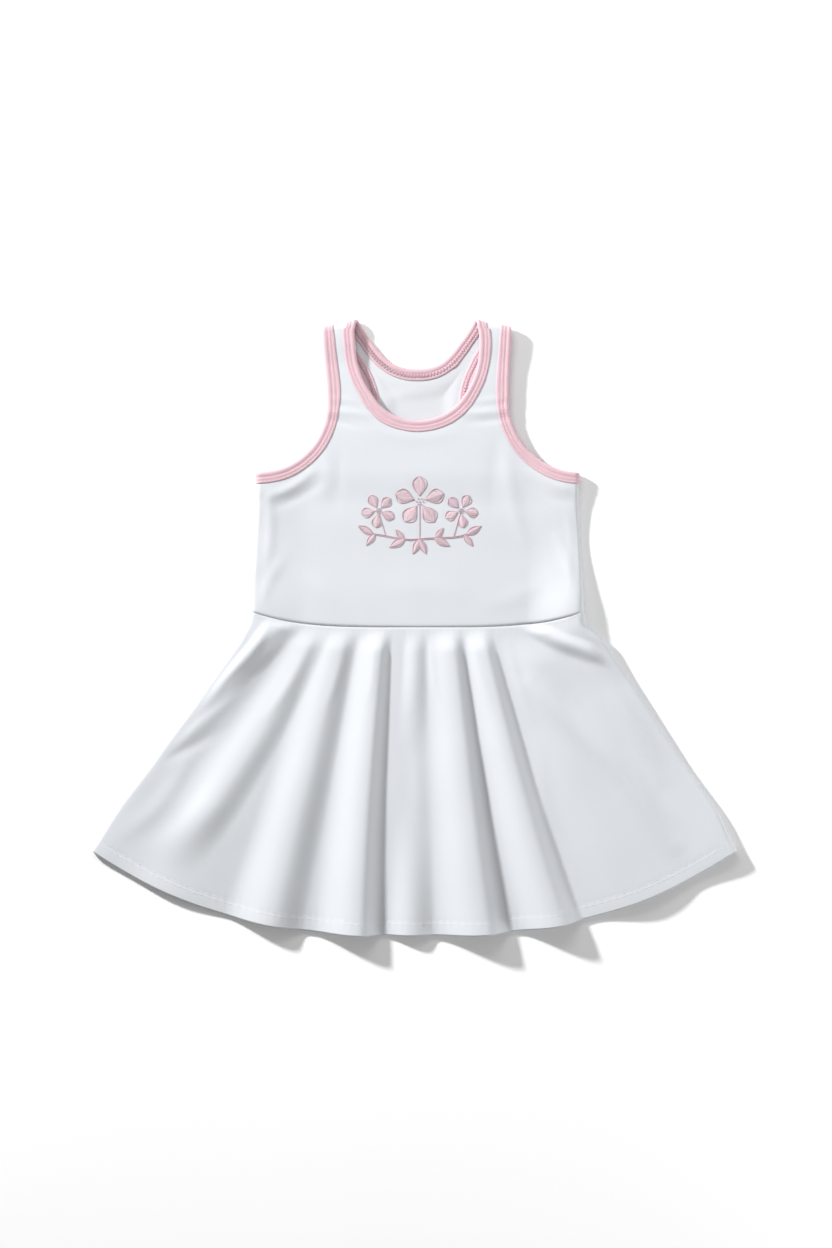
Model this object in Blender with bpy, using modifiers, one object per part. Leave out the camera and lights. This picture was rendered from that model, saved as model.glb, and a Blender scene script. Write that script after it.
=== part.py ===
# A child's sleeveless tennis dress laid flat on a table, front up.
# The frame is in metres: +Z up off the table, +Y towards the straps, +X to the right as one looks down on it.
# The origin is under the middle of the garment, on the table. The sizes below are in millimetres.
import math

import bmesh
import bpy
import numpy as np

MM = 0.001

# Walls and seams
CLOTH = 1.0
BINDING_CLOTH = 1.0
SEAM_GAP = 0.3
WAIST_SIDE_GAP = 0.35
BINDING_WIDTH = 10.0

# Bodice outline: the side seams, the waist and the strap tops
UNDERARM_HALF = 140.0
UNDERARM_Y = 135.0
WAIST_HALF = 144.5
WAIST_RISE = 13.5
WAIST_POWER = 4.0
SIDE_TAPER_TOP_Y = 110.0
SHOULDER_SLANT = math.radians(14.0)
SHOULDER_TOP = 272.8
STRAP_NECK_SIDE = -12.65
STRAP_ARM_SIDE = 15.5

# Skirt outline
HEM_HALF = 281.0
HEM_Y = -268.4
HEM_RISE = 73.9
HEM_POWER = 2.6
BOW_POWER = 6.0
# How far the side edges bow outwards. Columns: share of the way from waist to hem, left, right.
SIDE_BOW = [
    (0.0, 0.0, 0.0),
    (0.1, -5.0, 0.5),
    (0.35, -4.0, 2.2),
    (0.6, -1.5, 3.0),
    (0.82, 1.5, 5.5),
    (1.0, 0.0, 0.0),
]
# The garment lies a little askew. Columns: y, how far it is shifted to the right.
LEAN = [(-240.0, 0.0), (20.0, 3.5), (140.0, 3.5), (262.0, 1.4)]

# How high the two layers lie: a fold's radius is half the drop from the front layer to the back
BACK_LIES = CLOTH / 2
ARM_OFFSET = CLOTH / 2 + SEAM_GAP + BINDING_CLOTH / 2
CLOTH_INSET = ARM_OFFSET + BINDING_CLOTH / 2
BOUND_LIES = CLOTH_INSET
BOUND_REACH = 12.0
BOUND_FADE = 14.0
SHOULDER_RADIUS = 4.0
WAIST_RADIUS = 3.6
SIDE_BLEND = 35.0
WAIST_LIES = 3.8
HEM_LIES = 2.6
NEST = 0.18
NEST_FROM = 4.0

# The edge that a binding folds over, on the right half of the photo, from the centre or the side seam to the
# shoulder. Columns: x, y.
FRONT_NECK = [
    (0.0, 180.5),
    (16.0, 183.0),
    (30.0, 189.8),
    (42.0, 201.3),
    (50.5, 215.5),
    (55.3, 230.0),
    (57.0, 245.0),
    (56.6, 257.0),
]
BACK_NECK = [
    (0.0, 223.9),
    (10.5, 224.8),
    (21.0, 228.6),
    (31.0, 236.8),
    (39.5, 247.0),
    (46.8, 257.8),
]
FRONT_ARMHOLE = [
    (127.0, 136.8),
    (114.0, 141.8),
    (101.5, 150.3),
    (91.0, 162.0),
    (83.5, 177.0),
    (79.8, 192.0),
    (79.0, 208.0),
    (80.0, 228.0),
    (81.2, 248.0),
]
BACK_ARMHOLE = [
    (128.0, 135.8),
    (108.0, 138.4),
    (84.0, 144.6),
    (65.0, 154.2),
    (52.0, 166.8),
    (45.5, 181.5),
    (44.5, 196.0),
    (47.5, 210.5),
    (53.5, 224.0),
    (62.0, 237.2),
    (72.5, 250.2),
]

# Radius of the fold along the side seams. Columns: y on the bodice, radius.
BODICE_FOLD = [(13.5, WAIST_RADIUS), (45.0, 2.7), (80.0, 2.4), (120.0, 3.6)]
# Columns: share of the way from waist to hem, radius on the left of the photo, radius on the right.
SKIRT_FOLD = [
    (0.0, WAIST_RADIUS, WAIST_RADIUS),
    (0.1, 4.8, 6.0),
    (0.3, 3.4, 4.4),
    (0.6, 2.8, 3.8),
    (1.0, 2.4, 4.6),
]
# Height of the front layer down its middle. Columns: y, height.
FRONT_LIES = [
    (20.0, WAIST_LIES),
    (60.0, 3.4),
    (105.0, 4.2),
    (138.0, 6.4),
    (180.0, 6.8),
    (225.0, 7.8),
    (262.0, 9.0),
]

# The flares that stand up from the skirt front, from the left of the photo to the right. Crests and widths
# are shares of the way across; the left flank is as wide as the slow rise and the right one as the drop.
# Columns: crest at the waist, crest at the hem, left flank, right flank, height, starts at, fades from.
FLARES = [
    (0.110, -0.360, 0.060, 0.045, 8.0, 0.00, 0.25),
    (0.200, 0.088, 0.070, 0.055, 11.0, 0.00, 0.62),
    (0.180, 0.115, 0.080, 0.100, 6.0, 0.40, 2.00),
    (0.277, 0.279, 0.075, 0.058, 12.0, 0.00, 2.00),
    (0.390, 0.416, 0.076, 0.042, 16.0, 0.00, 2.00),
    (0.495, 0.494, 0.038, 0.037, 9.0, 0.00, 2.00),
    (0.600, 0.613, 0.084, 0.043, 17.0, 0.00, 2.00),
    (0.688, 0.723, 0.068, 0.047, 17.0, 0.00, 2.00),
    (0.800, 0.860, 0.088, 0.120, 8.0, 0.03, 2.00),
    (0.830, 1.550, 0.050, 0.036, 7.0, 0.00, 0.17),
]
FLARE_START = 0.08
FLARE_AT_WAIST = 0.38
FLARE_FADE = 0.3
FLARE_EDGE = 16.0
HEM_FOLLOW = 0.06

# How finely each sheet is divided
FRONT_NECK_STEPS = 10
BACK_NECK_STEPS = 6
FRONT_ARMHOLE_STEPS = 17
BACK_ARMHOLE_STEPS = 17
FRONT_GRID = {"armhole turns at": 8, "centre y": 148.0, "rows below neck": 2}
BACK_GRID = {"armhole turns at": 10, "centre y": 146.0, "rows below neck": 4}
ROLL_STEPS = 3
FOLD_STEPS = 3
CORE_COLUMNS = 5
SIDE_ROWS = 7
SKIRT_COLUMNS = 52
SKIRT_BACK_COLUMNS = 30
SKIRT_ROWS = 10
SKIRT_ROWS_CROWD = 1.15

WHITE = (0.86, 0.88, 0.92, 1.0)
PINK = (0.87, 0.52, 0.58, 1.0)


def smooth(t):
    """0 to 1 with level ends."""
    t = np.clip(t, 0.0, 1.0)
    return t * t * (3 - 2 * t)


def glide(at, table, column=1):
    """Reads a table's column with a smooth step between its rows."""
    at = np.asarray(at, float)
    keys = [row[0] for row in table]
    values = [row[column] for row in table]
    out = np.full(at.shape, float(values[0]))
    for k in range(len(keys) - 1):
        step = smooth((at - keys[k]) / (keys[k + 1] - keys[k]))
        out = out + (values[k + 1] - values[k]) * step
    return out


# The strap tops fold over a slanting line; each point is placed by how far up across that line it is.
UP = np.array([math.sin(SHOULDER_SLANT), math.cos(SHOULDER_SLANT)])
ALONG = np.array([math.cos(SHOULDER_SLANT), -math.sin(SHOULDER_SLANT)])
FOLD_START = SHOULDER_TOP - SHOULDER_RADIUS
SHOULDER_SEAM = FOLD_START + SHOULDER_RADIUS * math.pi / 2
SIDE_SEAM_X = UNDERARM_HALF + (math.pi / 2 - 1) * BODICE_FOLD[-1][1]
STRAP_NECK = SHOULDER_SEAM * UP + STRAP_NECK_SIDE * ALONG
STRAP_ARM = SHOULDER_SEAM * UP + STRAP_ARM_SIDE * ALONG
UNDERARM = np.array([SIDE_SEAM_X, UNDERARM_Y])
SIDE_ROLL = BODICE_FOLD[-1][1] * math.pi / 2
SHOULDER_ROLL = SHOULDER_RADIUS * math.pi / 2
# The last facet of a fold leans a little, so its end stands further back from the seam.
ROLL_GAP = SEAM_GAP / 2 + CLOTH / 2 * math.sin(math.pi / 4 / ROLL_STEPS)


def unfold_shoulder(point):
    """A point of one layer, laid out flat past the shoulder seam of the other."""
    point = np.asarray(point, float)
    return (2 * SHOULDER_SEAM - point @ UP) * UP + (point @ ALONG) * ALONG


def unfold_side(point):
    return np.array([2 * SIDE_SEAM_X - point[0], point[1]])


class Edge:
    """A bound edge: a smooth curve through its points, given the points just past its two ends."""

    def __init__(self, before, points, after, inward, from_side, steps):
        knots = [np.asarray(p, float) for p in [before, *points, after]]
        places, tangents = [], []
        for k in range(1, len(knots) - 2):
            p0, p1, p2, p3 = knots[k - 1 : k + 3]
            last = k == len(knots) - 3
            for t in np.linspace(0, 1, 25)[: None if last else -1]:
                places.append(
                    0.5
                    * (
                        2 * p1
                        + (p2 - p0) * t
                        + (2 * p0 - 5 * p1 + 4 * p2 - p3) * t * t
                        + (3 * p1 - p0 - 3 * p2 + p3) * t**3
                    )
                )
                tangents.append(
                    (p2 - p0)
                    + 2 * (2 * p0 - 5 * p1 + 4 * p2 - p3) * t
                    + 3 * (3 * p1 - p0 - 3 * p2 + p3) * t * t
                )
        self.places = np.array(places)
        tangents = np.array(tangents)
        self.tangents = tangents / np.linalg.norm(tangents, axis=1)[:, None]
        lengths = np.linalg.norm(np.diff(self.places, axis=0), axis=1)
        self.run = np.concatenate([[0], np.cumsum(lengths)])
        self.length = self.run[-1]
        self.inward = inward
        self.from_side = from_side
        self.steps = steps

    def at(self, run, inset=0.0):
        """Points at these lengths along the edge, moved into the cloth by inset."""
        place = np.stack([np.interp(run, self.run, self.places[:, k]) for k in (0, 1)], -1)
        tangent = np.stack([np.interp(run, self.run, self.tangents[:, k]) for k in (0, 1)], -1)
        across = np.stack([-tangent[..., 1], tangent[..., 0]], -1) * self.inward
        return place + across * inset

    def distance(self, x, y):
        gap = np.hypot(
            x[..., None] - self.places[::6, 0],
            y[..., None] - self.places[::6, 1],
        )
        return gap.min(-1)


def mirror(point):
    return (-point[0], point[1])


front_neck = Edge(
    mirror(FRONT_NECK[1]),
    [*FRONT_NECK, STRAP_NECK],
    unfold_shoulder(BACK_NECK[-1]),
    inward=-1,
    from_side=False,
    steps=FRONT_NECK_STEPS,
)
back_neck = Edge(
    mirror(BACK_NECK[1]),
    [*BACK_NECK, STRAP_NECK],
    unfold_shoulder(FRONT_NECK[-1]),
    inward=-1,
    from_side=False,
    steps=BACK_NECK_STEPS,
)
front_armhole = Edge(
    unfold_side(BACK_ARMHOLE[0]),
    [UNDERARM, *FRONT_ARMHOLE, STRAP_ARM],
    unfold_shoulder(BACK_ARMHOLE[-1]),
    inward=1,
    from_side=True,
    steps=FRONT_ARMHOLE_STEPS,
)
back_armhole = Edge(
    unfold_side(FRONT_ARMHOLE[0]),
    [UNDERARM, *BACK_ARMHOLE, STRAP_ARM],
    unfold_shoulder(FRONT_ARMHOLE[-1]),
    inward=1,
    from_side=True,
    steps=BACK_ARMHOLE_STEPS,
)


def waist_y(x):
    return WAIST_RISE * (np.abs(x) / WAIST_HALF) ** WAIST_POWER


def hem_y(x):
    return HEM_Y + HEM_RISE * (np.abs(x) / HEM_HALF) ** HEM_POWER


def side_x(y):
    """Outline of the bodice side."""
    taper = smooth((SIDE_TAPER_TOP_Y - y) / (SIDE_TAPER_TOP_Y - WAIST_RISE))
    return UNDERARM_HALF + (WAIST_HALF - UNDERARM_HALF) * taper


def past_shoulder(x, y):
    """How far a flat point lies past the start of the shoulder fold."""
    return np.abs(x) * UP[0] + y * UP[1] - FOLD_START


def side_lift(y):
    """The back layer rides up over the binding under it at the underarm."""
    near = smooth((BOUND_REACH + BOUND_FADE - (UNDERARM_Y - y)) / BOUND_FADE)
    return (BOUND_LIES - BACK_LIES) * near


def back_height(x, y):
    gap = np.minimum(back_neck.distance(np.abs(x), y), back_armhole.distance(np.abs(x), y))
    near = smooth((BOUND_REACH + BOUND_FADE - gap) / BOUND_FADE)
    height = BACK_LIES + (BOUND_LIES - BACK_LIES) * near
    at_top = smooth((past_shoulder(x, y) + 30) / 30)
    return height + (BOUND_LIES - height) * at_top


def front_height(x, y):
    middle = glide(y, FRONT_LIES)
    radius = glide(y, BODICE_FOLD)
    side = BACK_LIES + side_lift(y) + 2 * radius
    inset = side_x(y) - radius - np.abs(x)
    height = side + (middle - side) * smooth(inset / SIDE_BLEND)
    at_top = smooth((past_shoulder(x, y) + 30) / 30)
    return height + (BOUND_LIES + 2 * SHOULDER_RADIUS - height) * at_top


def bodice_place(x, y, layer):
    """Where a point of the flat bodice cloth lies. layer is 1 for the front and -1 for the back."""
    height = front_height(x, y) if layer > 0 else back_height(x, y)

    radius = glide(y, BODICE_FOLD)
    start = side_x(y) - radius
    turn = (np.abs(x) - start) / radius
    at_side = (turn > 0) & (y < UNDERARM_Y + BINDING_WIDTH / 2)
    side = np.where(at_side, turn, 0)
    centre = BACK_LIES + side_lift(y) + radius
    out_x = np.where(at_side, np.sign(x) * (start + radius * np.sin(side)), x)
    height = np.where(at_side, centre + layer * radius * np.cos(side), height)

    past = past_shoulder(x, y)
    over = np.where(past > 0, past, 0) / SHOULDER_RADIUS
    shift = SHOULDER_RADIUS * (np.sin(over) - over)
    centre = BOUND_LIES + SHOULDER_RADIUS
    height = np.where(past > 0, centre + layer * SHOULDER_RADIUS * np.cos(over), height)
    return np.stack([out_x + np.sign(x) * UP[0] * shift + glide(y, LEAN), y + UP[1] * shift, height], -1)


def flares(across, down):
    """Height that the flares add at a share of the way across and down the skirt front."""
    total = np.zeros(np.broadcast(across, down).shape)
    for waist, hem, left, right, height, start, fade in FLARES:
        crest = waist + (hem - waist) * down
        off = across - crest
        flank = np.clip(np.where(off < 0, off / left, off / right), -1, 1)
        grown = smooth((down - start) / FLARE_START) * (FLARE_AT_WAIST + (1 - FLARE_AT_WAIST) * down)
        kept = 1 - smooth((down - fade) / FLARE_FADE)
        total = total + height * grown * kept * 0.5 * (1 + np.cos(np.pi * flank))
    return total


def skirt_place(across, down, layer):
    """Where a point of the skirt lies. across is -1 to 1 between the side folds and 2 at the side seams."""
    left_radius = glide(down, SKIRT_FOLD, 1)
    right_radius = glide(down, SKIRT_FOLD, 2)
    radius = np.where(across < 0, left_radius, right_radius)
    half = WAIST_HALF + (HEM_HALF - WAIST_HALF) * down
    start = half - radius
    turn = np.clip(np.abs(across) - 1, 0, 1) * (math.pi / 2 - ROLL_GAP / radius)
    flat = np.minimum(np.abs(across), 1) * start
    share = np.sign(across) * (flat + radius * np.sin(turn)) / half

    waist_x, hem_x = share * WAIST_HALF, share * HEM_HALF
    x = waist_x + (hem_x - waist_x) * down
    y = waist_y(waist_x) + (hem_y(hem_x) - waist_y(waist_x)) * down
    bow = np.where(across < 0, glide(down, SIDE_BOW, 1), glide(down, SIDE_BOW, 2))
    x = x + np.sign(share) * bow * np.abs(share) ** BOW_POWER

    inset = start - flat
    risen = flares((share + 1) / 2, down) * smooth(inset / FLARE_EDGE)
    middle = WAIST_LIES + (HEM_LIES - WAIST_LIES) * smooth(down / 0.35)
    side = BACK_LIES + 2 * radius
    front = side + (middle - side) * smooth(inset / SIDE_BLEND) + risen
    back = BACK_LIES + NEST * np.maximum(risen - NEST_FROM, 0)
    height = front if layer > 0 else back
    height = np.where(turn > 0, BACK_LIES + radius + layer * radius * np.cos(turn), height)
    y = y - HEM_FOLLOW * risen * smooth(down)
    return np.stack([x + glide(y, LEAN), y, height], -1)


def material(name, colour, roughness):
    made = bpy.data.materials.new(name)
    made.use_nodes = True
    shader = made.node_tree.nodes["Principled BSDF"]
    shader.inputs["Base Color"].default_value = colour
    shader.inputs["Roughness"].default_value = roughness
    shader.inputs["Metallic"].default_value = 0.0
    made.diffuse_color = colour
    return made


def lay_grid(mesh, places):
    """Adds a grid whose vertices stand at places[row, column]."""
    rows, columns = places.shape[:2]
    made = bmesh.ops.create_grid(mesh, x_segments=columns - 1, y_segments=rows - 1, size=0.5)
    for vert in made["verts"]:
        column = round((vert.co.x + 0.5) * (columns - 1))
        row = round((vert.co.y + 0.5) * (rows - 1))
        vert.co = places[row, column] * MM


def finish(name, mesh, parts, surface, thickness=CLOTH):
    """Makes the sheet an object with its wall."""
    bmesh.ops.remove_doubles(mesh, verts=mesh.verts, dist=0.01 * MM)
    data = bpy.data.meshes.new(name)
    mesh.to_mesh(data)
    mesh.free()
    made = bpy.data.objects.new(name, data)
    parts.objects.link(made)
    data.materials.append(surface)
    data.shade_smooth()
    wall = made.modifiers.new("wall", "SOLIDIFY")
    wall.thickness = thickness * MM
    wall.offset = 0.0
    return made


def stations(length, first_roll, middle):
    """Lengths along an edge, closer together where it goes round a fold at either end."""
    last_roll = length - SHOULDER_ROLL
    stops = [np.linspace(0, first_roll, ROLL_STEPS + 1)] if first_roll else [np.array([0.0])]
    stops.append(np.linspace(first_roll, last_roll, middle + 1)[1:])
    stops.append(np.linspace(last_roll, length, ROLL_STEPS + 1)[1:])
    return np.concatenate(stops)


def bound_points(edge, inset, seam_gap):
    """Flat points along a bound edge at an inset, square to the seams where it goes round a fold."""
    runs = stations(edge.length, SIDE_ROLL if edge.from_side else 0, edge.steps)
    points = edge.at(runs, inset)
    last = ROLL_STEPS + 1
    step = np.linspace(0, 1, last)
    over = FOLD_START + (SHOULDER_ROLL - seam_gap) * step
    points[-last:] += (over - points[-last:] @ UP)[:, None] * UP
    if edge.from_side:
        points[:last, 0] = SIDE_SEAM_X - seam_gap - (SIDE_ROLL - seam_gap) * step
    return points


def line(start, end, steps):
    return start + (end - start) * np.linspace(0, 1, steps + 1)[:, None]


def share_along(points):
    run = np.concatenate([[0], np.cumsum(np.linalg.norm(np.diff(points, axis=0), axis=1))])
    return run / run[-1]


def patch(bottom, top, left, right):
    """Points inside four sides; opposite sides have as many points as each other."""
    across = ((share_along(bottom) + share_along(top)) / 2)[None, :, None]
    up = ((share_along(left) + share_along(right)) / 2)[:, None, None]
    between_ends = bottom * (1 - up) + top * up
    between_sides = left[:, None] * (1 - across) + right[:, None] * across
    low = bottom[0] * (1 - across) + bottom[-1] * across
    high = top[0] * (1 - across) + top[-1] * across
    return between_ends + between_sides - (low * (1 - up) + high * up)


def bodice_panel(name, layer, neck, armhole, grid, parts, surface):
    """One bodice panel: a patch from waist to underarm, one from there to the shoulder, and edge strips."""
    arm_in = bound_points(armhole, BINDING_WIDTH, ROLL_GAP)
    arm_out = bound_points(armhole, CLOTH_INSET, ROLL_GAP)
    neck_in = bound_points(neck, BINDING_WIDTH, ROLL_GAP)
    neck_out = bound_points(neck, CLOTH_INSET, ROLL_GAP)

    # The lower patch ends on a level line from the centre to the place where the armhole turns upwards.
    turn = grid["armhole turns at"]
    half_gap = SEAM_GAP / 2
    middle = line(np.array([0.0, grid["centre y"]]), arm_in[turn], CORE_COLUMNS)
    low_top = np.concatenate([middle, arm_in[turn - 1 : ROLL_STEPS - 1 : -1]])
    side_y = np.linspace(WAIST_RISE + half_gap, arm_in[0, 1], SIDE_ROWS + 1)
    radius = glide(side_y, BODICE_FOLD)
    low_right = np.stack([side_x(side_y) - radius, side_y], -1)
    low_right[-1] = low_top[-1]
    bottom_x = low_top[:, 0] * low_right[0, 0] / low_top[-1, 0]
    bottom = np.stack([bottom_x, waist_y(bottom_x) + half_gap], -1)
    low_left = line(bottom[0], middle[0], SIDE_ROWS)
    low_right[0] = bottom[-1]
    low = patch(bottom, low_top, low_left, low_right)

    # Round the fold at the side seam its columns stand closer together.
    seam = low_right + np.stack([radius * math.pi / 2 - ROLL_GAP, 0 * radius], -1)
    seam[-1] = arm_in[0]
    seam[0, 1] = side_y[0]
    roll = [low_right + (seam - low_right) * k / ROLL_STEPS for k in range(1, ROLL_STEPS + 1)]
    for k in range(1, ROLL_STEPS):
        roll[k - 1][-1] = arm_in[ROLL_STEPS - k]
    low = np.concatenate([low, np.stack(roll, 1)], 1)

    centre = line(middle[0], neck_in[0], grid["rows below neck"])
    high_left = np.concatenate([centre, neck_in[1:]])
    high = patch(middle, line(neck_in[-1], arm_in[-1], CORE_COLUMNS), high_left, arm_in[turn:])
    neck_strip = np.stack([neck_in, neck_out])
    arm_strip = np.stack([arm_in[::-1], arm_out[::-1]])

    mesh = bmesh.new()
    for flat in (low, high, neck_strip, arm_strip):
        right = bodice_place(flat[..., 0], flat[..., 1], layer)
        left = bodice_place(-flat[..., 0], flat[..., 1], layer)
        lay_grid(mesh, right)
        lay_grid(mesh, left[:, ::-1])
    return finish(name, mesh, parts, surface)


def skirt_panel(name, layer, columns, parts, surface):
    """One skirt panel: columns run from the waist to the hem, and crowd round the fold at each side seam."""
    rolls = np.linspace(1, 2, ROLL_STEPS + 1)[1:]
    across = np.concatenate([-rolls[::-1], np.linspace(-1, 1, columns + 1), rolls])
    waist_line = SEAM_GAP / 2 / -HEM_Y
    down = waist_line + (1 - waist_line) * np.linspace(1, 0, SKIRT_ROWS + 1) ** SKIRT_ROWS_CROWD
    places = skirt_place(across[None, :], down[:, None], layer)
    places[-1, :, 1] -= WAIST_SIDE_GAP * np.minimum(np.abs(across), 1) ** 8
    mesh = bmesh.new()
    lay_grid(mesh, places)
    return finish(name, mesh, parts, surface)


def binding_profile():
    """Middle line of the folded strip: inset from the folded edge, and height off the cloth's own middle."""
    turns = np.linspace(math.pi / 2, -math.pi / 2, FOLD_STEPS + 1)
    fold = [(CLOTH_INSET - ARM_OFFSET * math.cos(a), ARM_OFFSET * math.sin(a)) for a in turns]
    return [(BINDING_WIDTH, ARM_OFFSET), *fold, (BINDING_WIDTH, -ARM_OFFSET)]


def surface_normal(x, y, layer):
    """Unit normal of the bodice cloth, away from the garment's inside."""
    step = 0.2
    along_x = bodice_place(x + step, y, layer) - bodice_place(x - step, y, layer)
    along_y = bodice_place(x, y + step, layer) - bodice_place(x, y - step, layer)
    normal = np.cross(along_x, along_y) * layer
    return normal / np.linalg.norm(normal, axis=-1)[..., None]


def bind(name, stretches, parts, surface):
    """A binding folded over a closed edge. Each stretch is (edge, side, layer, direction along it)."""
    strips = []
    for edge, side, layer, direction in stretches:
        rings = []
        for inset, off in binding_profile():
            flat = bound_points(edge, inset, 0.0)[::direction]
            x, y = side * flat[:, 0], flat[:, 1]
            rings.append(bodice_place(x, y, layer) + surface_normal(x, y, layer) * off)
        strips.append(np.stack(rings)[:, :-1])
    around = np.concatenate([*strips, strips[0][:, :1]], 1)
    mesh = bmesh.new()
    lay_grid(mesh, around)
    return finish(name, mesh, parts, surface, BINDING_CLOTH)


def main():
    for old in list(bpy.data.objects):
        bpy.data.objects.remove(old, do_unlink=True)
    parts = bpy.data.collections.new("tennis_dress")
    bpy.context.scene.collection.children.link(parts)
    white = material("white_jersey", WHITE, 0.7)
    pink = material("pink_binding", PINK, 0.75)

    bodice_panel("bodice_front", 1, front_neck, front_armhole, FRONT_GRID, parts, white)
    bodice_panel("bodice_back", -1, back_neck, back_armhole, BACK_GRID, parts, white)
    skirt_panel("skirt_front", 1, SKIRT_COLUMNS, parts, white)
    skirt_panel("skirt_back", -1, SKIRT_BACK_COLUMNS, parts, white)

    neck = [
        (front_neck, 1, 1, 1),
        (back_neck, 1, -1, -1),
        (back_neck, -1, -1, 1),
        (front_neck, -1, 1, -1),
    ]
    bind("neck_binding", neck, parts, pink)
    for name, side in (("armhole_binding_right", 1), ("armhole_binding_left", -1)):
        ring = [(front_armhole, side, 1, 1), (back_armhole, side, -1, -1)]
        bind(name, ring, parts, pink)


main()
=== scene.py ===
import math

import bmesh
import bpy
import numpy as np
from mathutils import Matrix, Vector


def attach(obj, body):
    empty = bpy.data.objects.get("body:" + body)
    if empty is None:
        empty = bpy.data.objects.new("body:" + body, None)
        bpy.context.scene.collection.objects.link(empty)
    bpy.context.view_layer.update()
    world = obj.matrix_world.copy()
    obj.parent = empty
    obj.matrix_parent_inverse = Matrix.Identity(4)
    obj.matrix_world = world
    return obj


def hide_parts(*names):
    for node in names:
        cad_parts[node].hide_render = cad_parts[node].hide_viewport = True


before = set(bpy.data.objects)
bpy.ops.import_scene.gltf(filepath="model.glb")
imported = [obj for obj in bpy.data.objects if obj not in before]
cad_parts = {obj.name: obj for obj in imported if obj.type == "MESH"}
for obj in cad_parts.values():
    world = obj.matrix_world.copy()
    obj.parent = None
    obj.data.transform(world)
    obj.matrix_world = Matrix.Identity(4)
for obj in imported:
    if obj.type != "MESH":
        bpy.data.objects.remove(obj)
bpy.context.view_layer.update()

mm = 0.001

# Everything below is in millimetres in the frame of the solids: +Y towards the straps, +X to the right.
# The first group repeats the solids' own outline, folds and heights.
bodice = {
    "underarmHalf": 140.0, "underarmY": 135.0, "waistHalf": 144.5, "waistRise": 13.5, "waistPower": 4.0,
    "taperTopY": 110.0, "shoulderSlant": math.radians(14.0), "shoulderTop": 272.8,
    "strapNeckSide": -12.65, "strapArmSide": 15.5,
}
skirt = {
    "hemHalf": 281.0, "hemY": -268.4, "hemRise": 73.9, "hemPower": 2.6, "bowPower": 6.0, "hemFollow": 0.06,
    "drop": 276.0,
}
layers = {
    "backLies": 0.5, "boundLies": 1.8, "boundReach": 12.0, "boundFade": 14.0, "shoulderRadius": 4.0,
    "sideBlend": 44.0, "waistLies": 3.8, "hemLies": 2.6, "nest": 0.18, "nestFrom": 4.0,
}
sideBow = [  # share of the way down, left bow, right bow
    (0.0, 0.0, 0.0), (0.055, -3.0, -5.0), (0.13, -5.0, 1.2), (0.35, -4.0, 2.2), (0.6, -1.5, 3.0),
    (0.82, 1.5, 5.5), (1.0, 0.0, 0.0),
]
lean = [(-240.0, 0.0), (20.0, 3.5), (140.0, 3.5), (262.0, 1.4)]  # y, shift to the right
frontNeckPoints = [
    (0.0, 180.5), (16.0, 183.0), (30.0, 189.8), (42.0, 201.3), (50.5, 215.5), (55.3, 230.0), (57.0, 245.0),
    (56.6, 257.0),
]
backNeckPoints = [(0.0, 223.9), (10.5, 224.8), (21.0, 228.6), (31.0, 236.8), (39.5, 247.0), (46.8, 257.8)]
frontArmholePoints = [
    (127.0, 136.8), (114.0, 141.8), (101.5, 150.3), (91.0, 162.0), (83.5, 177.0), (79.8, 192.0),
    (79.0, 208.0), (80.0, 228.0), (81.2, 248.0),
]
backArmholePoints = [
    (128.0, 135.8), (108.0, 138.4), (84.0, 144.6), (65.0, 154.2), (52.0, 166.8), (45.5, 181.5),
    (44.5, 196.0), (47.5, 210.5), (53.5, 224.0), (62.0, 237.2), (72.5, 250.2),
]
bodiceFold = [(13.5, 3.6), (45.0, 2.7), (80.0, 2.4), (120.0, 3.6)]  # y, radius
hip = {"rise": 2.9, "bodiceReach": 62.0, "skirtReach": 0.15}  # the right fold is fuller at the waist
skirtFold = [  # share of the way down, radius on the left, radius on the right
    (0.0, 3.6, 3.6), (0.1, 4.8, 5.0), (0.3, 3.4, 3.2), (0.6, 2.8, 2.4), (1.0, 2.4, 4.2),
]
frontLies = [  # y, height of the front's middle off the floor
    (20.0, 3.8), (60.0, 3.4), (105.0, 4.2), (138.0, 6.4), (180.0, 6.8), (225.0, 7.8), (262.0, 9.0),
]
# The straps lie a little unevenly: how far the cloth beside each bound edge is shifted to the right.
frontDrift = [  # y, left neck, left armhole, right neck, right armhole
    (100.0, 0.0, 0.0, 0.0, 0.0), (136.0, 0.0, 2.4, 0.0, 0.0), (177.0, 0.2, 2.4, 0.0, 0.0),
    (190.0, 3.0, 2.2, -0.3, 0.6), (204.0, 5.1, 1.5, -1.2, 2.1), (245.0, 5.1, 1.0, -1.2, 2.3),
    (262.0, 3.4, 1.0, -1.2, 2.3),
]
backDrift = [
    (100.0, 0.0, 0.0, 0.0, 0.0), (190.0, 2.0, 2.5, 2.0, 2.6), (225.0, 1.2, 2.2, 0.5, 2.2),
    (245.0, 2.2, 2.0, -0.6, 1.2), (262.0, 3.4, 1.0, -1.2, 2.3),
]
frontStrapMiddle = [(0.0, 69.0), (264.0, 69.0)]  # y, distance of the strap's middle line from the centre
backStrapMiddle = [(205.0, 12.0), (224.0, 34.0), (237.0, 47.6), (250.0, 57.0), (264.0, 69.0)]
backNeckRise = [(200.0, 0.0), (222.0, 1.8), (242.0, 1.8), (262.0, 0.0)]
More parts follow.
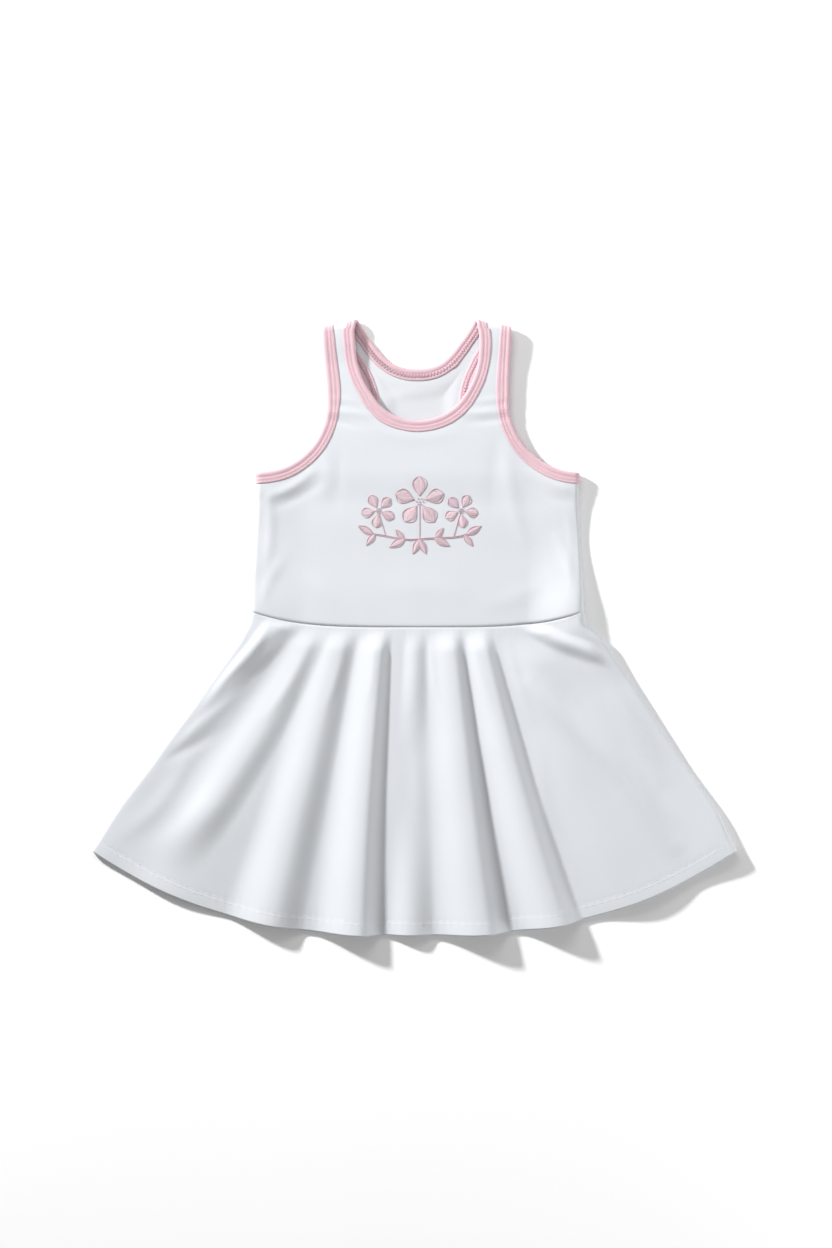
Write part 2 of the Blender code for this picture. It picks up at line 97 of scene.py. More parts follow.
# Each flare: crest at the waist, crest at the hem, left flank, right flank, height, starts at, grows over,
# fades from. The first four are shares of the width, the last three shares of the way down.
flares = [
    (0.100, -0.230, 0.060, 0.066, 9.0, 0.00, 0.03, 0.32),
    (0.200, 0.088, 0.075, 0.052, 8.5, 0.00, 0.08, 0.66),
    (0.180, 0.115, 0.090, 0.100, 4.0, 0.25, 0.50, 2.00),
    (0.277, 0.279, 0.075, 0.055, 12.0, 0.00, 0.08, 2.00),
    (0.390, 0.416, 0.076, 0.036, 16.0, 0.00, 0.08, 2.00),
    (0.495, 0.494, 0.038, 0.037, 6.5, 0.00, 0.08, 0.14),
    (0.496, 0.496, 0.040, 0.040, 7.0, 0.50, 0.50, 2.00),
    (0.600, 0.613, 0.084, 0.040, 17.0, 0.00, 0.08, 2.00),
    (0.688, 0.727, 0.068, 0.037, 17.5, 0.00, 0.08, 2.00),
    (0.800, 0.860, 0.088, 0.120, 8.0, 0.03, 0.12, 2.00),
    (0.838, 1.720, 0.056, 0.052, 12.0, 0.00, 0.04, 0.10),
]
flareGrowth = {"atWaist": 0.38, "fade": 0.3, "edge": 9.0, "full": 0.80}


def smooth(t):
    t = np.clip(t, 0.0, 1.0)
    return t * t * (3 - 2 * t)


def glide(at, table, column=1):
    # a table's column, with a smooth step from each row to the next
    at = np.asarray(at, float)
    out = np.full(at.shape, float(table[0][column]))
    for low, high in zip(table, table[1:]):
        out = out + (high[column] - low[column]) * smooth((at - low[0]) / (high[0] - low[0]))
    return out


slant = bodice["shoulderSlant"]
upStrap = np.array([math.sin(slant), math.cos(slant)])
alongFold = np.array([math.cos(slant), -math.sin(slant)])
foldStart = bodice["shoulderTop"] - layers["shoulderRadius"]
shoulderSeam = foldStart + layers["shoulderRadius"] * math.pi / 2
sideSeamX = bodice["underarmHalf"] + (math.pi / 2 - 1) * bodiceFold[-1][1]
strapNeck = shoulderSeam * upStrap + bodice["strapNeckSide"] * alongFold
strapArm = shoulderSeam * upStrap + bodice["strapArmSide"] * alongFold
underarm = np.array([sideSeamX, bodice["underarmY"]])


def unfoldShoulder(point):
    point = np.asarray(point, float)
    return (2 * shoulderSeam - point @ upStrap) * upStrap + (point @ alongFold) * alongFold


def unfoldSide(point):
    return np.array([2 * sideSeamX - point[0], point[1]])


class Edge:
    # a bound edge as a smooth curve through its points
    def __init__(self, before, points, after, inward, fromSide):
        knots = [np.asarray(p, float) for p in [before, *points, after]]
        places, tangents = [], []
        for k in range(1, len(knots) - 2):
            a, b, c, d = knots[k - 1 : k + 3]
            last = k == len(knots) - 3
            for t in np.linspace(0, 1, 25)[: None if last else -1]:
                square = 2 * a - 5 * b + 4 * c - d
                cube = 3 * b - a - 3 * c + d
                places.append(0.5 * (2 * b + (c - a) * t + square * t * t + cube * t**3))
                tangents.append((c - a) + 2 * square * t + 3 * cube * t * t)
        self.places = np.array(places)
        tangents = np.array(tangents)
        self.tangents = tangents / np.linalg.norm(tangents, axis=1)[:, None]
        lengths = np.linalg.norm(np.diff(self.places, axis=0), axis=1)
        self.run = np.concatenate([[0], np.cumsum(lengths)])
        self.length = self.run[-1]
        self.inward = inward
        self.fromSide = fromSide

    def at(self, run, inset):
        place = np.stack([np.interp(run, self.run, self.places[:, k]) for k in (0, 1)], -1)
        tangent = np.stack([np.interp(run, self.run, self.tangents[:, k]) for k in (0, 1)], -1)
        across = np.stack([-tangent[..., 1], tangent[..., 0]], -1) * self.inward
        return place + across * np.asarray(inset)[..., None]

    def distance(self, x, y):
        near = np.full(np.shape(x), 1e9)
        for px, py in self.places[::6]:
            near = np.minimum(near, np.hypot(x - px, y - py))
        return near


def mirrored(point):
    return (-point[0], point[1])


frontNeck = Edge(mirrored(frontNeckPoints[1]), [*frontNeckPoints, strapNeck],
                 unfoldShoulder(backNeckPoints[-1]), -1, False)
backNeck = Edge(mirrored(backNeckPoints[1]), [*backNeckPoints, strapNeck],
                unfoldShoulder(frontNeckPoints[-1]), -1, False)
frontArmhole = Edge(unfoldSide(backArmholePoints[0]), [underarm, *frontArmholePoints, strapArm],
                    unfoldShoulder(backArmholePoints[-1]), 1, True)
backArmhole = Edge(unfoldSide(frontArmholePoints[0]), [underarm, *backArmholePoints, strapArm],
                   unfoldShoulder(frontArmholePoints[-1]), 1, True)


def waistY(x):
    return bodice["waistRise"] * (np.abs(x) / bodice["waistHalf"]) ** bodice["waistPower"]


def hemY(x):
    return skirt["hemY"] + skirt["hemRise"] * (np.abs(x) / skirt["hemHalf"]) ** skirt["hemPower"]


def sideX(y):
    taper = smooth((bodice["taperTopY"] - y) / (bodice["taperTopY"] - bodice["waistRise"]))
    return bodice["underarmHalf"] + (bodice["waistHalf"] - bodice["underarmHalf"]) * taper


def sideRadius(x, y):
    hipShare = smooth(x / 60) * smooth((bodice["waistRise"] + hip["bodiceReach"] - y) / hip["bodiceReach"])
    return glide(y, bodiceFold) + hip["rise"] * hipShare


def pastShoulder(x, y):
    return np.abs(x) * upStrap[0] + y * upStrap[1] - foldStart


def sideLift(y):
    # the side fold rises beside the armhole's binding
    within = layers["boundReach"] + layers["boundFade"] - (bodice["underarmY"] - y)
    return (layers["boundLies"] - layers["backLies"]) * smooth(within / layers["boundFade"])


# Soft creases: from x, y, to x, y, half-width, height, sideways bow.
frontBodiceCreases = [
    (-84.0, 188.0, -44.0, 184.0, 3.4, 0.75, 1.5), (-82.0, 181.0, -52.0, 175.0, 3.0, -0.55, 1.0),
    (-78.0, 199.0, -56.0, 196.0, 2.8, 0.45, 0.6),
    (38.0, 187.0, 84.0, 191.0, 3.2, 0.80, -1.5), (44.0, 179.0, 82.0, 183.0, 3.0, -0.60, -1.0),
    (52.0, 197.0, 80.0, 201.0, 2.6, 0.45, -0.5),
    (78.0, 158.0, 92.0, 76.0, 6.5, 0.75, -3.0), (70.0, 160.0, 66.0, 100.0, 7.0, -0.40, -2.0),
    (-82.0, 160.0, -84.0, 112.0, 6.0, 0.50, 2.0), (-70.0, 150.0, -72.0, 104.0, 6.0, -0.30, 1.5),
    (-92.0, 137.0, -134.0, 112.0, 4.2, 1.20, 3.0), (-84.0, 128.0, -126.0, 104.0, 4.5, -0.70, 2.0),
    (104.0, 136.0, 138.0, 118.0, 4.2, 0.90, -2.5), (98.0, 126.0, 134.0, 108.0, 4.5, -0.50, -2.0),
    (-130.0, 116.0, -131.0, 56.0, 4.5, 0.90, 2.5), (-118.0, 60.0, -136.0, 22.0, 5.5, 0.80, -2.0),
    (122.0, 78.0, 142.0, 20.0, 5.0, 0.90, 2.0), (132.0, 100.0, 136.0, 54.0, 4.0, 0.60, 1.0),
    (-40.0, 172.0, 34.0, 170.0, 5.5, 0.40, -6.0),
    (-104.0, 44.0, -70.0, 16.0, 8.0, 0.45, 3.0), (60.0, 20.0, 112.0, 40.0, 8.0, 0.45, -3.0),
    (-30.0, 34.0, 40.0, 28.0, 9.0, 0.30, 4.0),
]
backBodiceCreases = [
    (-36.0, 196.0, 10.0, 204.0, 5.0, 0.50, 3.0), (0.0, 180.0, 40.0, 172.0, 6.0, 0.45, -2.0),
    (-96.0, 120.0, -20.0, 96.0, 7.0, 0.60, 4.0), (24.0, 84.0, 104.0, 112.0, 7.0, 0.55, -4.0),
    (-110.0, 60.0, -40.0, 30.0, 8.0, 0.60, -3.0), (30.0, 40.0, 118.0, 24.0, 8.0, 0.55, 4.0),
    (-64.0, 140.0, -50.0, 70.0, 6.0, 0.40, 3.0),
]
frontSkirtCreases = [
    (-126.0, 3.0, -158.0, -40.0, 4.0, 1.30, 3.0), (-112.0, -4.0, -182.0, -66.0, 5.5, -0.90, -4.0),
    (-146.0, -46.0, -214.0, -104.0, 6.0, 1.10, 4.0), (-170.0, -90.0, -222.0, -116.0, 5.0, -0.80, 2.0),
    (-196.0, -118.0, -246.0, -178.0, 7.5, 1.20, 4.0), (-176.0, -128.0, -226.0, -184.0, 9.0, -0.90, 3.0),
    (-92.0, -16.0, -128.0, -78.0, 4.5, 0.70, 2.5), (-60.0, -14.0, -76.0, -70.0, 3.6, 0.50, 1.5),
    (-34.0, -12.0, -38.0, -62.0, 3.2, 0.45, 1.0), (16.0, -12.0, 20.0, -58.0, 3.2, 0.40, -1.0),
    (52.0, -12.0, 66.0, -66.0, 3.4, 0.50, -1.5), (82.0, -14.0, 104.0, -80.0, 4.2, 0.60, -2.0),
    (128.0, -56.0, 176.0, -140.0, 8.0, -0.90, -4.0), (150.0, -60.0, 204.0, -134.0, 9.0, 0.80, -5.0),
    (206.0, -150.0, 240.0, -188.0, 8.0, -0.80, -3.0), (141.0, 10.0, 151.0, -8.0, 4.0, -2.60, 1.0),
    (104.0, -50.0, 226.0, -186.0, 11.0, 3.40, 6.0), (150.0, -30.0, 216.0, -128.0, 10.0, 2.00, 4.0),
    (108.0, -104.0, 122.0, -182.0, 8.0, 0.60, -3.0), (0.0, -90.0, 4.0, -170.0, 6.0, 0.50, 1.0),
]
backSkirtCreases = [
    (-120.0, -10.0, -210.0, -150.0, 9.0, 0.60, 5.0), (-80.0, -14.0, -120.0, -190.0, 8.0, 0.65, -4.0),
    (-20.0, -10.0, -34.0, -200.0, 8.0, 0.55, 3.0), (40.0, -12.0, 66.0, -180.0, 8.0, 0.60, -3.0),
    (96.0, -8.0, 150.0, -170.0, 9.0, 0.65, 5.0), (130.0, 0.0, 214.0, -130.0, 8.0, 0.50, -4.0),
]


def creaseHeight(x, y, creases):
    total = np.zeros(np.broadcast(x, y).shape)
    for x0, y0, x1, y1, width, height, bow in creases:
        length = math.hypot(x1 - x0, y1 - y0)
        alongX, alongY = (x1 - x0) / length, (y1 - y0) / length
        along = ((x - x0) * alongX + (y - y0) * alongY) / length
        inside = np.clip(along, 0, 1)
        across = (y - y0) * alongX - (x - x0) * alongY - bow * np.sin(math.pi * inside)
        ends = np.maximum(np.abs(along - 0.5) - 0.5, 0) * length
        fade = np.sin(math.pi * (0.08 + 0.84 * inside)) ** 0.8
        total = total + height * fade * np.exp(-(across**2 + ends**2) / width**2)
    return total


def restlessCloth(x, y, size):
    # the slight unevenness of cloth smoothed by hand
    first = np.sin(x / 17.0 + 1.3 * np.sin(y / 41.0)) * np.sin(y / 23.0 + 0.7)
    second = np.sin(x / 31.0 - y / 37.0 + 2.0) * np.sin(x / 53.0 + y / 19.0)
    return size * (0.6 * first + 0.4 * second)


seamLook = {"ditch": 0.4, "ditchWidth": 0.7, "pucker": 0.06, "puckerEvery": 5.5, "puckerReach": 7.0}


def seamDip(distance, run):
    # the cloth turns down into a seam, and draws up a little beside it
    dip = -seamLook["ditch"] * np.exp(-((distance / seamLook["ditchWidth"]) ** 2))
    wave = np.sin(run * 2 * math.pi / seamLook["puckerEvery"] + 0.8 * np.sin(run / 13.0))
    near = np.exp(-((distance / seamLook["puckerReach"]) ** 2)) * (1 - np.exp(-((distance / 1.8) ** 2)))
    return dip + seamLook["pucker"] * wave * near


def backHeight(x, y):
    gap = np.minimum(backNeck.distance(np.abs(x), y), backArmhole.distance(np.abs(x), y))
    near = smooth((layers["boundReach"] + layers["boundFade"] - gap) / layers["boundFade"])
    height = layers["backLies"] + (layers["boundLies"] - layers["backLies"]) * near
    height = height + creaseHeight(x, y, backBodiceCreases) * smooth((gap - 11) / 10)
    atTop = smooth((pastShoulder(x, y) + 30) / 30)
    return height + (layers["boundLies"] - height) * atTop


def frontHeight(x, y):
    middle = glide(y, frontLies)
    radius = sideRadius(x, y)
    side = layers["backLies"] + sideLift(y) + 2 * radius
    inset = sideX(y) - radius - np.abs(x)
    height = side + (middle - side) * smooth(inset / layers["sideBlend"])
    flat = smooth(inset / 8)
    height = height + (creaseHeight(x, y, frontBodiceCreases) + restlessCloth(x, y, 0.22)) * flat
    height = height + seamDip(y - waistY(x), x) * flat
    atTop = smooth((pastShoulder(x, y) + 30) / 30)
    return height + (layers["boundLies"] + 2 * layers["shoulderRadius"] - height) * atTop


def drift(x, y, layer):
    rows, middle = (frontDrift, frontStrapMiddle) if layer > 0 else (backDrift, backStrapMiddle)
    onArm = smooth((np.abs(x) - glide(y, middle) + 4) / 8)
    left = glide(y, rows, 1) * (1 - onArm) + glide(y, rows, 2) * onArm
    right = glide(y, rows, 3) * (1 - onArm) + glide(y, rows, 4) * onArm
    share = smooth(x / 24 + 0.5)
    atSide = smooth((sideSeamX - 4 - np.abs(x)) / 26)
    rise = 0 * x if layer > 0 else glide(y, backNeckRise) * (1 - onArm)
    return (left * (1 - share) + right * share) * atSide, rise


def bodicePlace(x, y, layer):
    # where a point of the flat bodice cloth lies: layer is 1 for the front, -1 for the back
    height = frontHeight(x, y) if layer > 0 else backHeight(x, y)
    radius = sideRadius(x, y)
    start = sideX(y) - radius
    seam = sideX(y) + (math.pi / 2 - 1) * glide(y, bodiceFold)
    turn = (np.abs(x) - start) * (math.pi / 2) / (seam - start)
    atSide = (turn > 0) & (y < bodice["underarmY"] + 5)
    side = np.where(atSide, turn, 0)
    centre = layers["backLies"] + sideLift(y) + radius
    outX = np.where(atSide, np.sign(x) * (start + radius * np.sin(side)), x)
    height = np.where(atSide, centre + layer * radius * np.cos(side), height)

    roll = layers["shoulderRadius"]
    past = pastShoulder(x, y)
    over = np.where(past > 0, past, 0) / roll
    shift = roll * (np.sin(over) - over)
    height = np.where(past > 0, layers["boundLies"] + roll + layer * roll * np.cos(over), height)
    aside, rise = drift(x, y, layer)
    placeX = outX + np.sign(x) * upStrap[0] * shift + glide(y, lean) + aside
    return np.stack([placeX, y + upStrap[1] * shift + rise, height], -1)


def bodiceNormal(x, y, layer, step=0.3):
    alongX = bodicePlace(x + step, y, layer) - bodicePlace(x - step, y, layer)
    alongY = bodicePlace(x, y + step, layer) - bodicePlace(x, y - step, layer)
    normal = np.cross(alongX, alongY) * layer
    return normal / np.linalg.norm(normal, axis=-1)[..., None]


def flareHeight(across, down):
    total = np.zeros(np.broadcast(across, down).shape)
    for waist, hem, left, right, height, start, growth, fade in flares:
        off = across - (waist + (hem - waist) * down)
        flank = np.clip(np.where(off < 0, off / left, off / right), -1, 1)
        grown = smooth((down - start) / growth)
        grown = grown * (flareGrowth["atWaist"] + (1 - flareGrowth["atWaist"]) * down)
        kept = 1 - smooth((down - fade) / flareGrowth["fade"])
        total = total + height * grown * kept * 0.5 * (1 + np.cos(np.pi * flank))
    return total * flareGrowth["full"]


hemLook = {
    "depth": 13.0, "dip": 0.16, "dipWidth": 1.2, "puff": 0.06, "puffAt": 6.0, "puffWidth": 4.5, "wave": 0.14,
    "waveEvery": 6.2, "waveAt": 11.0, "waveWidth": 6.0, "cloth": 0.8, "turnedCloth": 0.98, "backLifts": 0.2,
}


def hemRelief(fromHem, run):
    # the stitched line of the turned-up hem and the slight roll of its band
    dip = -hemLook["dip"] * np.exp(-(((fromHem - hemLook["depth"]) / hemLook["dipWidth"]) ** 2))
    band = hemLook["puff"] * np.exp(-(((fromHem - hemLook["puffAt"]) / hemLook["puffWidth"]) ** 2))
    wave = hemLook["wave"] * np.sin(run * 2 * math.pi / hemLook["waveEvery"] + np.sin(run / 17.0))
    return dip + band + wave * np.exp(-(((fromHem - hemLook["waveAt"]) / hemLook["waveWidth"]) ** 2))


def skirtPlace(across, down, layer, raised=0.0):
    # across is -1 to 1 between the side folds and 2 at the side seams
    # down is 0 at the waist and 1 at the hem
    radius = np.where(across < 0, glide(down, skirtFold, 1), glide(down, skirtFold, 2))
    radius = radius + hip["rise"] * smooth(across) * smooth(1 - down / hip["skirtReach"])
    half = bodice["waistHalf"] + (skirt["hemHalf"] - bodice["waistHalf"]) * down
    start = half - radius
    turn = np.clip(np.abs(across) - 1, 0, 1) * math.pi / 2
    flat = np.minimum(np.abs(across), 1) * start
    share = np.sign(across) * (flat + radius * np.sin(turn)) / half

    waistX, hemX = share * bodice["waistHalf"], share * skirt["hemHalf"]
    x = waistX + (hemX - waistX) * down
    y = waistY(waistX) + (hemY(hemX) - waistY(waistX)) * down
    bow = np.where(across < 0, glide(down, sideBow, 1), glide(down, sideBow, 2))
    x = x + np.sign(share) * bow * np.abs(share) ** skirt["bowPower"]

    inset = start - flat
    risen = flareHeight((share + 1) / 2, down) * smooth(inset / flareGrowth["edge"])
    middle = layers["waistLies"] + (layers["hemLies"] - layers["waistLies"]) * smooth(down / 0.35)
    side = layers["backLies"] + 2 * radius
    front = side + (middle - side) * smooth(inset / layers["sideBlend"]) + risen
    back = layers["backLies"] + layers["nest"] * np.maximum(risen - layers["nestFrom"], 0)

    y = y - skirt["hemFollow"] * risen * smooth(down)
    x = x + glide(y, lean)
    away = smooth(inset / 10)
    fromWaist = down * skirt["drop"]
    fromHem = (1 - down) * skirt["drop"]
    detail = seamDip(fromWaist, x) + hemRelief(fromHem, x)
    uneven = creaseHeight(x, y, frontSkirtCreases) + restlessCloth(x, y, 0.25)
    front = front + uneven * away + detail * away
    lifted = hemLook["backLifts"] * smooth(2 - fromHem / 12)
    back = back + (creaseHeight(x, y, backSkirtCreases) + lifted) * away
    height = front if layer > 0 else back
    height = np.where(turn > 0, layers["backLies"] + radius + layer * radius * np.cos(turn), height)
    return np.stack([x, y, height + raised], -1)


# Mesh helpers
def layGrid(mesh, places):
    # a grid whose vertices stand at places[row, column]
    rows, columns = places.shape[:2]
    made = bmesh.ops.create_grid(mesh, x_segments=columns - 1, y_segments=rows - 1, size=0.5)
    for vert in made["verts"]:
        column = round((vert.co.x + 0.5) * (columns - 1))
        row = round((vert.co.y + 0.5) * (rows - 1))
        vert.co = places[row, column] * mm
    return made["verts"]


def makePiece(name, mesh, material, merge=0.01):
    bmesh.ops.remove_doubles(mesh, verts=mesh.verts, dist=merge * mm)
    data = bpy.data.meshes.new(name)
    mesh.to_mesh(data)
    mesh.free()
    piece = bpy.data.objects.new(name, data)
    bpy.context.scene.collection.objects.link(piece)
    data.materials.append(material)
    data.shade_smooth()
    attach(piece, "root")
    return piece


def addThread(mesh, path, radius, sides=5):
    # a round thread along a path of points, drawn in at both ends
    path = np.asarray(path)
    along = np.gradient(path, axis=0)
    along /= np.linalg.norm(along, axis=1)[:, None]
    across = np.cross(along, [0.0, 0.0, 1.0])
    across /= np.maximum(np.linalg.norm(across, axis=1), 1e-6)[:, None]
    over = np.cross(across, along)
    thick = np.full(len(path), float(radius))
    thick[[0, -1]] = radius * 0.25
    angles = np.linspace(0, 2 * math.pi, sides + 1)
    ring = (np.cos(angles)[:, None, None] * across + np.sin(angles)[:, None, None] * over) * thick[:, None]
    verts = layGrid(mesh, path + ring)
    bmesh.ops.remove_doubles(mesh, verts=verts, dist=0.002 * mm)


# Shader helpers
class Shade:
    # a socket whose sums, differences and products add Math nodes
    def __init__(self, tree, socket=None):
        self.tree = tree
        self.socket = socket

    def node(self, kind, settings, inputs, output=0):
        made = self.tree.nodes.new("ShaderNode" + kind)
        for name, value in settings.items():
            setattr(made, name, value)
        for name, value in inputs.items():
            if isinstance(value, Shade):
                self.tree.links.new(value.socket, made.inputs[name])
            else:
                made.inputs[name].default_value = value
        return Shade(self.tree, made.outputs[output])

    def maths(self, operation, *values):
        return self.node("Math", {"operation": operation}, dict(enumerate(values)))

    def __add__(self, other):
        return self.maths("ADD", self, other)

    def __sub__(self, other):
        return self.maths("SUBTRACT", self, other)

    def __rsub__(self, other):
        return self.maths("SUBTRACT", other, self)

    def __mul__(self, other):
        return self.maths("MULTIPLY", self, other)

    __radd__ = __add__
    __rmul__ = __mul__


def mixColours(shade, share, first, second):
    return shade.node("Mix", {"data_type": "RGBA"}, {0: share, 6: first, 7: second}, 2)


def newMaterial(name, roughness, sheen):
    material = bpy.data.materials.new(name)
    material.use_nodes = True
    shader = material.node_tree.nodes["Principled BSDF"]
    shader.inputs["Roughness"].default_value = roughness
    shader.inputs["Sheen Weight"].default_value = sheen
    shader.inputs["Sheen Roughness"].default_value = 0.5
    shader.inputs["Sheen Tint"].default_value = (1.0, 1.0, 1.0, 1.0)
    shader.inputs["Specular IOR Level"].default_value = 0.3
    return material, shader, Shade(material.node_tree)


jersey = {
    "light": (0.622, 0.640, 0.664, 1.0), "shade": (0.597, 0.617, 0.648, 1.0),
    "roughness": 0.78, "sheen": 0.12, "wale": 0.85, "course": 0.62, "relief": 0.05,
}
ribKnit = {
    "light": (0.66, 0.465, 0.508, 1.0), "shade": (0.61, 0.40, 0.452, 1.0),
    "roughness": 0.82, "sheen": 0.15, "wale": 0.9, "course": 0.7, "relief": 0.07,
}


def knitMaterial(name, look):
    # smooth jersey: fine upright wales crossed by finer courses, with slight patches in its colour and a
    # little painted shade in the grooves between the wales
    material, shader, shade = newMaterial(name, look["roughness"], look["sheen"])
    place = shade.node("TexCoord", {}, {}, 3)
    x = shade.node("SeparateXYZ", {}, {0: place}, 0)
    y = shade.node("SeparateXYZ", {}, {0: place}, 1)
    wander = shade.node("TexNoise", {}, {"Vector": place, "Scale": 90.0, "Detail": 2.0})
    patches = shade.node("TexNoise", {},
                         {"Vector": place, "Scale": 22.0, "Detail": 3.0, "Roughness": 0.55})
    wale = shade.maths("COSINE", x * (2 * math.pi / (look["wale"] * mm)) + wander * 2.0)
    course = shade.maths("COSINE", y * (2 * math.pi / (look["course"] * mm)) + wale * 0.9)
    knit = wale * 0.6 + course * 0.25
    fuzz = shade.node("TexNoise", {}, {"Vector": place, "Scale": 2600.0, "Detail": 2.0})
    # colour mix: random patches and fuzz are tone; the wale term is painted shade, darker in the grooves
    # between the raised wales
    share = patches * 0.7 + wale * -0.10 + fuzz * 0.25
    colour = mixColours(shade, share, look["light"], look["shade"])
    bump = shade.node("Bump", {},
                      {"Strength": 0.55, "Distance": look["relief"] * mm, "Height": knit + fuzz * 0.5})
    shade.tree.links.new(colour.socket, shader.inputs["Base Color"])
    shade.tree.links.new(bump.socket, shader.inputs["Normal"])
    return material


def threadMaterial(name, light, dark, roughness=0.5):
    # twisted thread: fine slanting plies and a soft gloss
    material, shader, shade = newMaterial(name, roughness, 0.25)
    place = shade.node("TexCoord", {}, {}, 3)
    x = shade.node("SeparateXYZ", {}, {0: place}, 0)
    y = shade.node("SeparateXYZ", {}, {0: place}, 1)
    ply = shade.maths("SINE", x * 9000.0 + y * 13000.0)
    patches = shade.node("TexNoise", {}, {"Vector": place, "Scale": 400.0, "Detail": 2.0})
    colour = mixColours(shade, patches * 0.8 + ply * 0.12, light, dark)
    bump = shade.node("Bump", {}, {"Strength": 0.5, "Distance": 0.05 * mm, "Height": ply})
    shade.tree.links.new(colour.socket, shader.inputs["Base Color"])
    shade.tree.links.new(bump.socket, shader.inputs["Normal"])
    return material


def floorMaterial():
    material, shader, shade = newMaterial("paleFloor", 0.9, 0.0)
    place = shade.node("TexCoord", {}, {}, 3)
    patches = shade.node("TexNoise", {}, {"Vector": place, "Scale": 3.0, "Detail": 2.0})
    colour = mixColours(shade, patches, (0.97, 0.97, 0.97, 1.0), (0.95, 0.95, 0.955, 1.0))
    shade.tree.links.new(colour.socket, shader.inputs["Base Color"])
    return material


# The panels
bindingWidth = 10.0
panelInset = 1.6
fineness = {
    "rollSteps": 6, "core": 46, "sideRows": 64, "armSteps": 92, "strip": 5,
    "skirtColumns": 250, "skirtBackColumns": 150, "skirtRows": 104,
}
sideRoll = bodiceFold[-1][1] * math.pi / 2
shoulderRoll = layers["shoulderRadius"] * math.pi / 2


def stations(edge, middle):
    steps = fineness["rollSteps"]
    first = sideRoll if edge.fromSide else 0.0
    stops = [np.linspace(0, first, steps + 1)] if edge.fromSide else [np.array([0.0])]
    stops.append(np.linspace(first, edge.length - shoulderRoll, middle + 1)[1:])
    stops.append(np.linspace(edge.length - shoulderRoll, edge.length, steps + 1)[1:])
    return np.concatenate(stops)


def boundPoints(edge, runs, inset):
    # flat points at an inset, kept square to the seams at the ends
    points = edge.at(runs, np.full(len(runs), float(inset)))
    toEnd = edge.length - runs
    near = smooth((2 * shoulderRoll - toEnd) / shoulderRoll)
    points += ((shoulderSeam - toEnd - points @ upStrap) * near)[:, None] * upStrap
    if edge.fromSide:
        near = smooth((2 * sideRoll - runs) / sideRoll)
        points[:, 0] += (sideSeamX - runs - points[:, 0]) * near
    return points


def line(start, end, steps):
    return start + (end - start) * np.linspace(0, 1, steps + 1)[:, None]


def shareAlong(points):
    run = np.concatenate([[0], np.cumsum(np.linalg.norm(np.diff(points, axis=0), axis=1))])
    return run / run[-1]


def patch(bottom, top, left, right):
    across = ((shareAlong(bottom) + shareAlong(top)) / 2)[None, :, None]
    up = ((shareAlong(left) + shareAlong(right)) / 2)[:, None, None]
    ends = bottom * (1 - up) + top * up
    sides = left[:, None] * (1 - across) + right[:, None] * across
    low = bottom[0] * (1 - across) + bottom[-1] * across
    high = top[0] * (1 - across) + top[-1] * across
    return ends + sides - (low * (1 - up) + high * up)


def settle(flat, rounds=120):
    # evens out the grid inside a patch, its rim staying where it is
    for _ in range(rounds):
        flat[1:-1, 1:-1] = (flat[:-2, 1:-1] + flat[2:, 1:-1] + flat[1:-1, :-2] + flat[1:-1, 2:]) / 4
    return flat


def bodicePanel(name, layer, neck, armhole, turnShare, centreY, material):
    core, rollSteps = fineness["core"], fineness["rollSteps"]
    armRuns = stations(armhole, fineness["armSteps"])
    turn = rollSteps + round(fineness["armSteps"] * turnShare)
    below = max(2, round((neck.at(np.array([0.0]), [bindingWidth])[0, 1] - centreY) / 2.6))
    neckMiddle = len(armRuns) - 1 - turn - below - rollSteps
    neckRuns = stations(neck, neckMiddle)
    armIn = boundPoints(armhole, armRuns, bindingWidth)
    neckIn = boundPoints(neck, neckRuns, bindingWidth)

    # two patches meet along a line from the middle to the armhole
    middle = line(np.array([0.0, centreY]), armIn[turn], core)
    lowTop = np.concatenate([middle, armIn[turn - 1 : rollSteps - 1 : -1]])
    sideY = np.linspace(bodice["waistRise"], armIn[0, 1], fineness["sideRows"] + 1)
    radius = glide(sideY, bodiceFold)
    lowRight = np.stack([sideX(sideY) - radius, sideY], -1)
    lowRight[-1] = lowTop[-1]
    bottomX = lowTop[:, 0] * lowRight[0, 0] / lowTop[-1, 0]
    bottom = np.stack([bottomX, waistY(bottomX)], -1)
    lowRight[0] = bottom[-1]
    low = patch(bottom, lowTop, line(bottom[0], middle[0], fineness["sideRows"]), lowRight)
    # the lower patch goes on round the side fold to the side seam
    seam = lowRight + np.stack([radius * math.pi / 2, 0 * radius], -1)
    seam[-1] = armIn[0]
    seam[0, 1] = sideY[0]
    roll = [lowRight + (seam - lowRight) * k / rollSteps for k in range(1, rollSteps + 1)]
    for k in range(1, rollSteps):
        roll[k - 1][-1] = armIn[rollSteps - k]
    low = np.concatenate([low, np.stack(roll, 1)], 1)
    highLeft = np.concatenate([line(middle[0], neckIn[0], below), neckIn[1:]])
    high = settle(patch(middle, line(neckIn[-1], armIn[-1], core), highLeft, armIn[turn:]))
    # strips along the bound edges, under the bindings
    insets = np.linspace(bindingWidth, panelInset, fineness["strip"] + 1)
    neckStrip = np.stack([boundPoints(neck, neckRuns, inset) for inset in insets])
    armStrip = np.stack([boundPoints(armhole, armRuns, inset)[::-1] for inset in insets])

    mesh = bmesh.new()
    for flat in (low, high, neckStrip, armStrip):
        layGrid(mesh, bodicePlace(flat[..., 0], flat[..., 1], layer))
        layGrid(mesh, bodicePlace(-flat[..., 0], flat[..., 1], layer)[:, ::-1])
    piece = makePiece(name, mesh, material)
    addWall(piece, hemLook["cloth"])
    return piece


def addWall(piece, thickness):
    wall = piece.modifiers.new("wall", "SOLIDIFY")
    wall.offset = 0.0
    wall.thickness = thickness * mm
    return wall


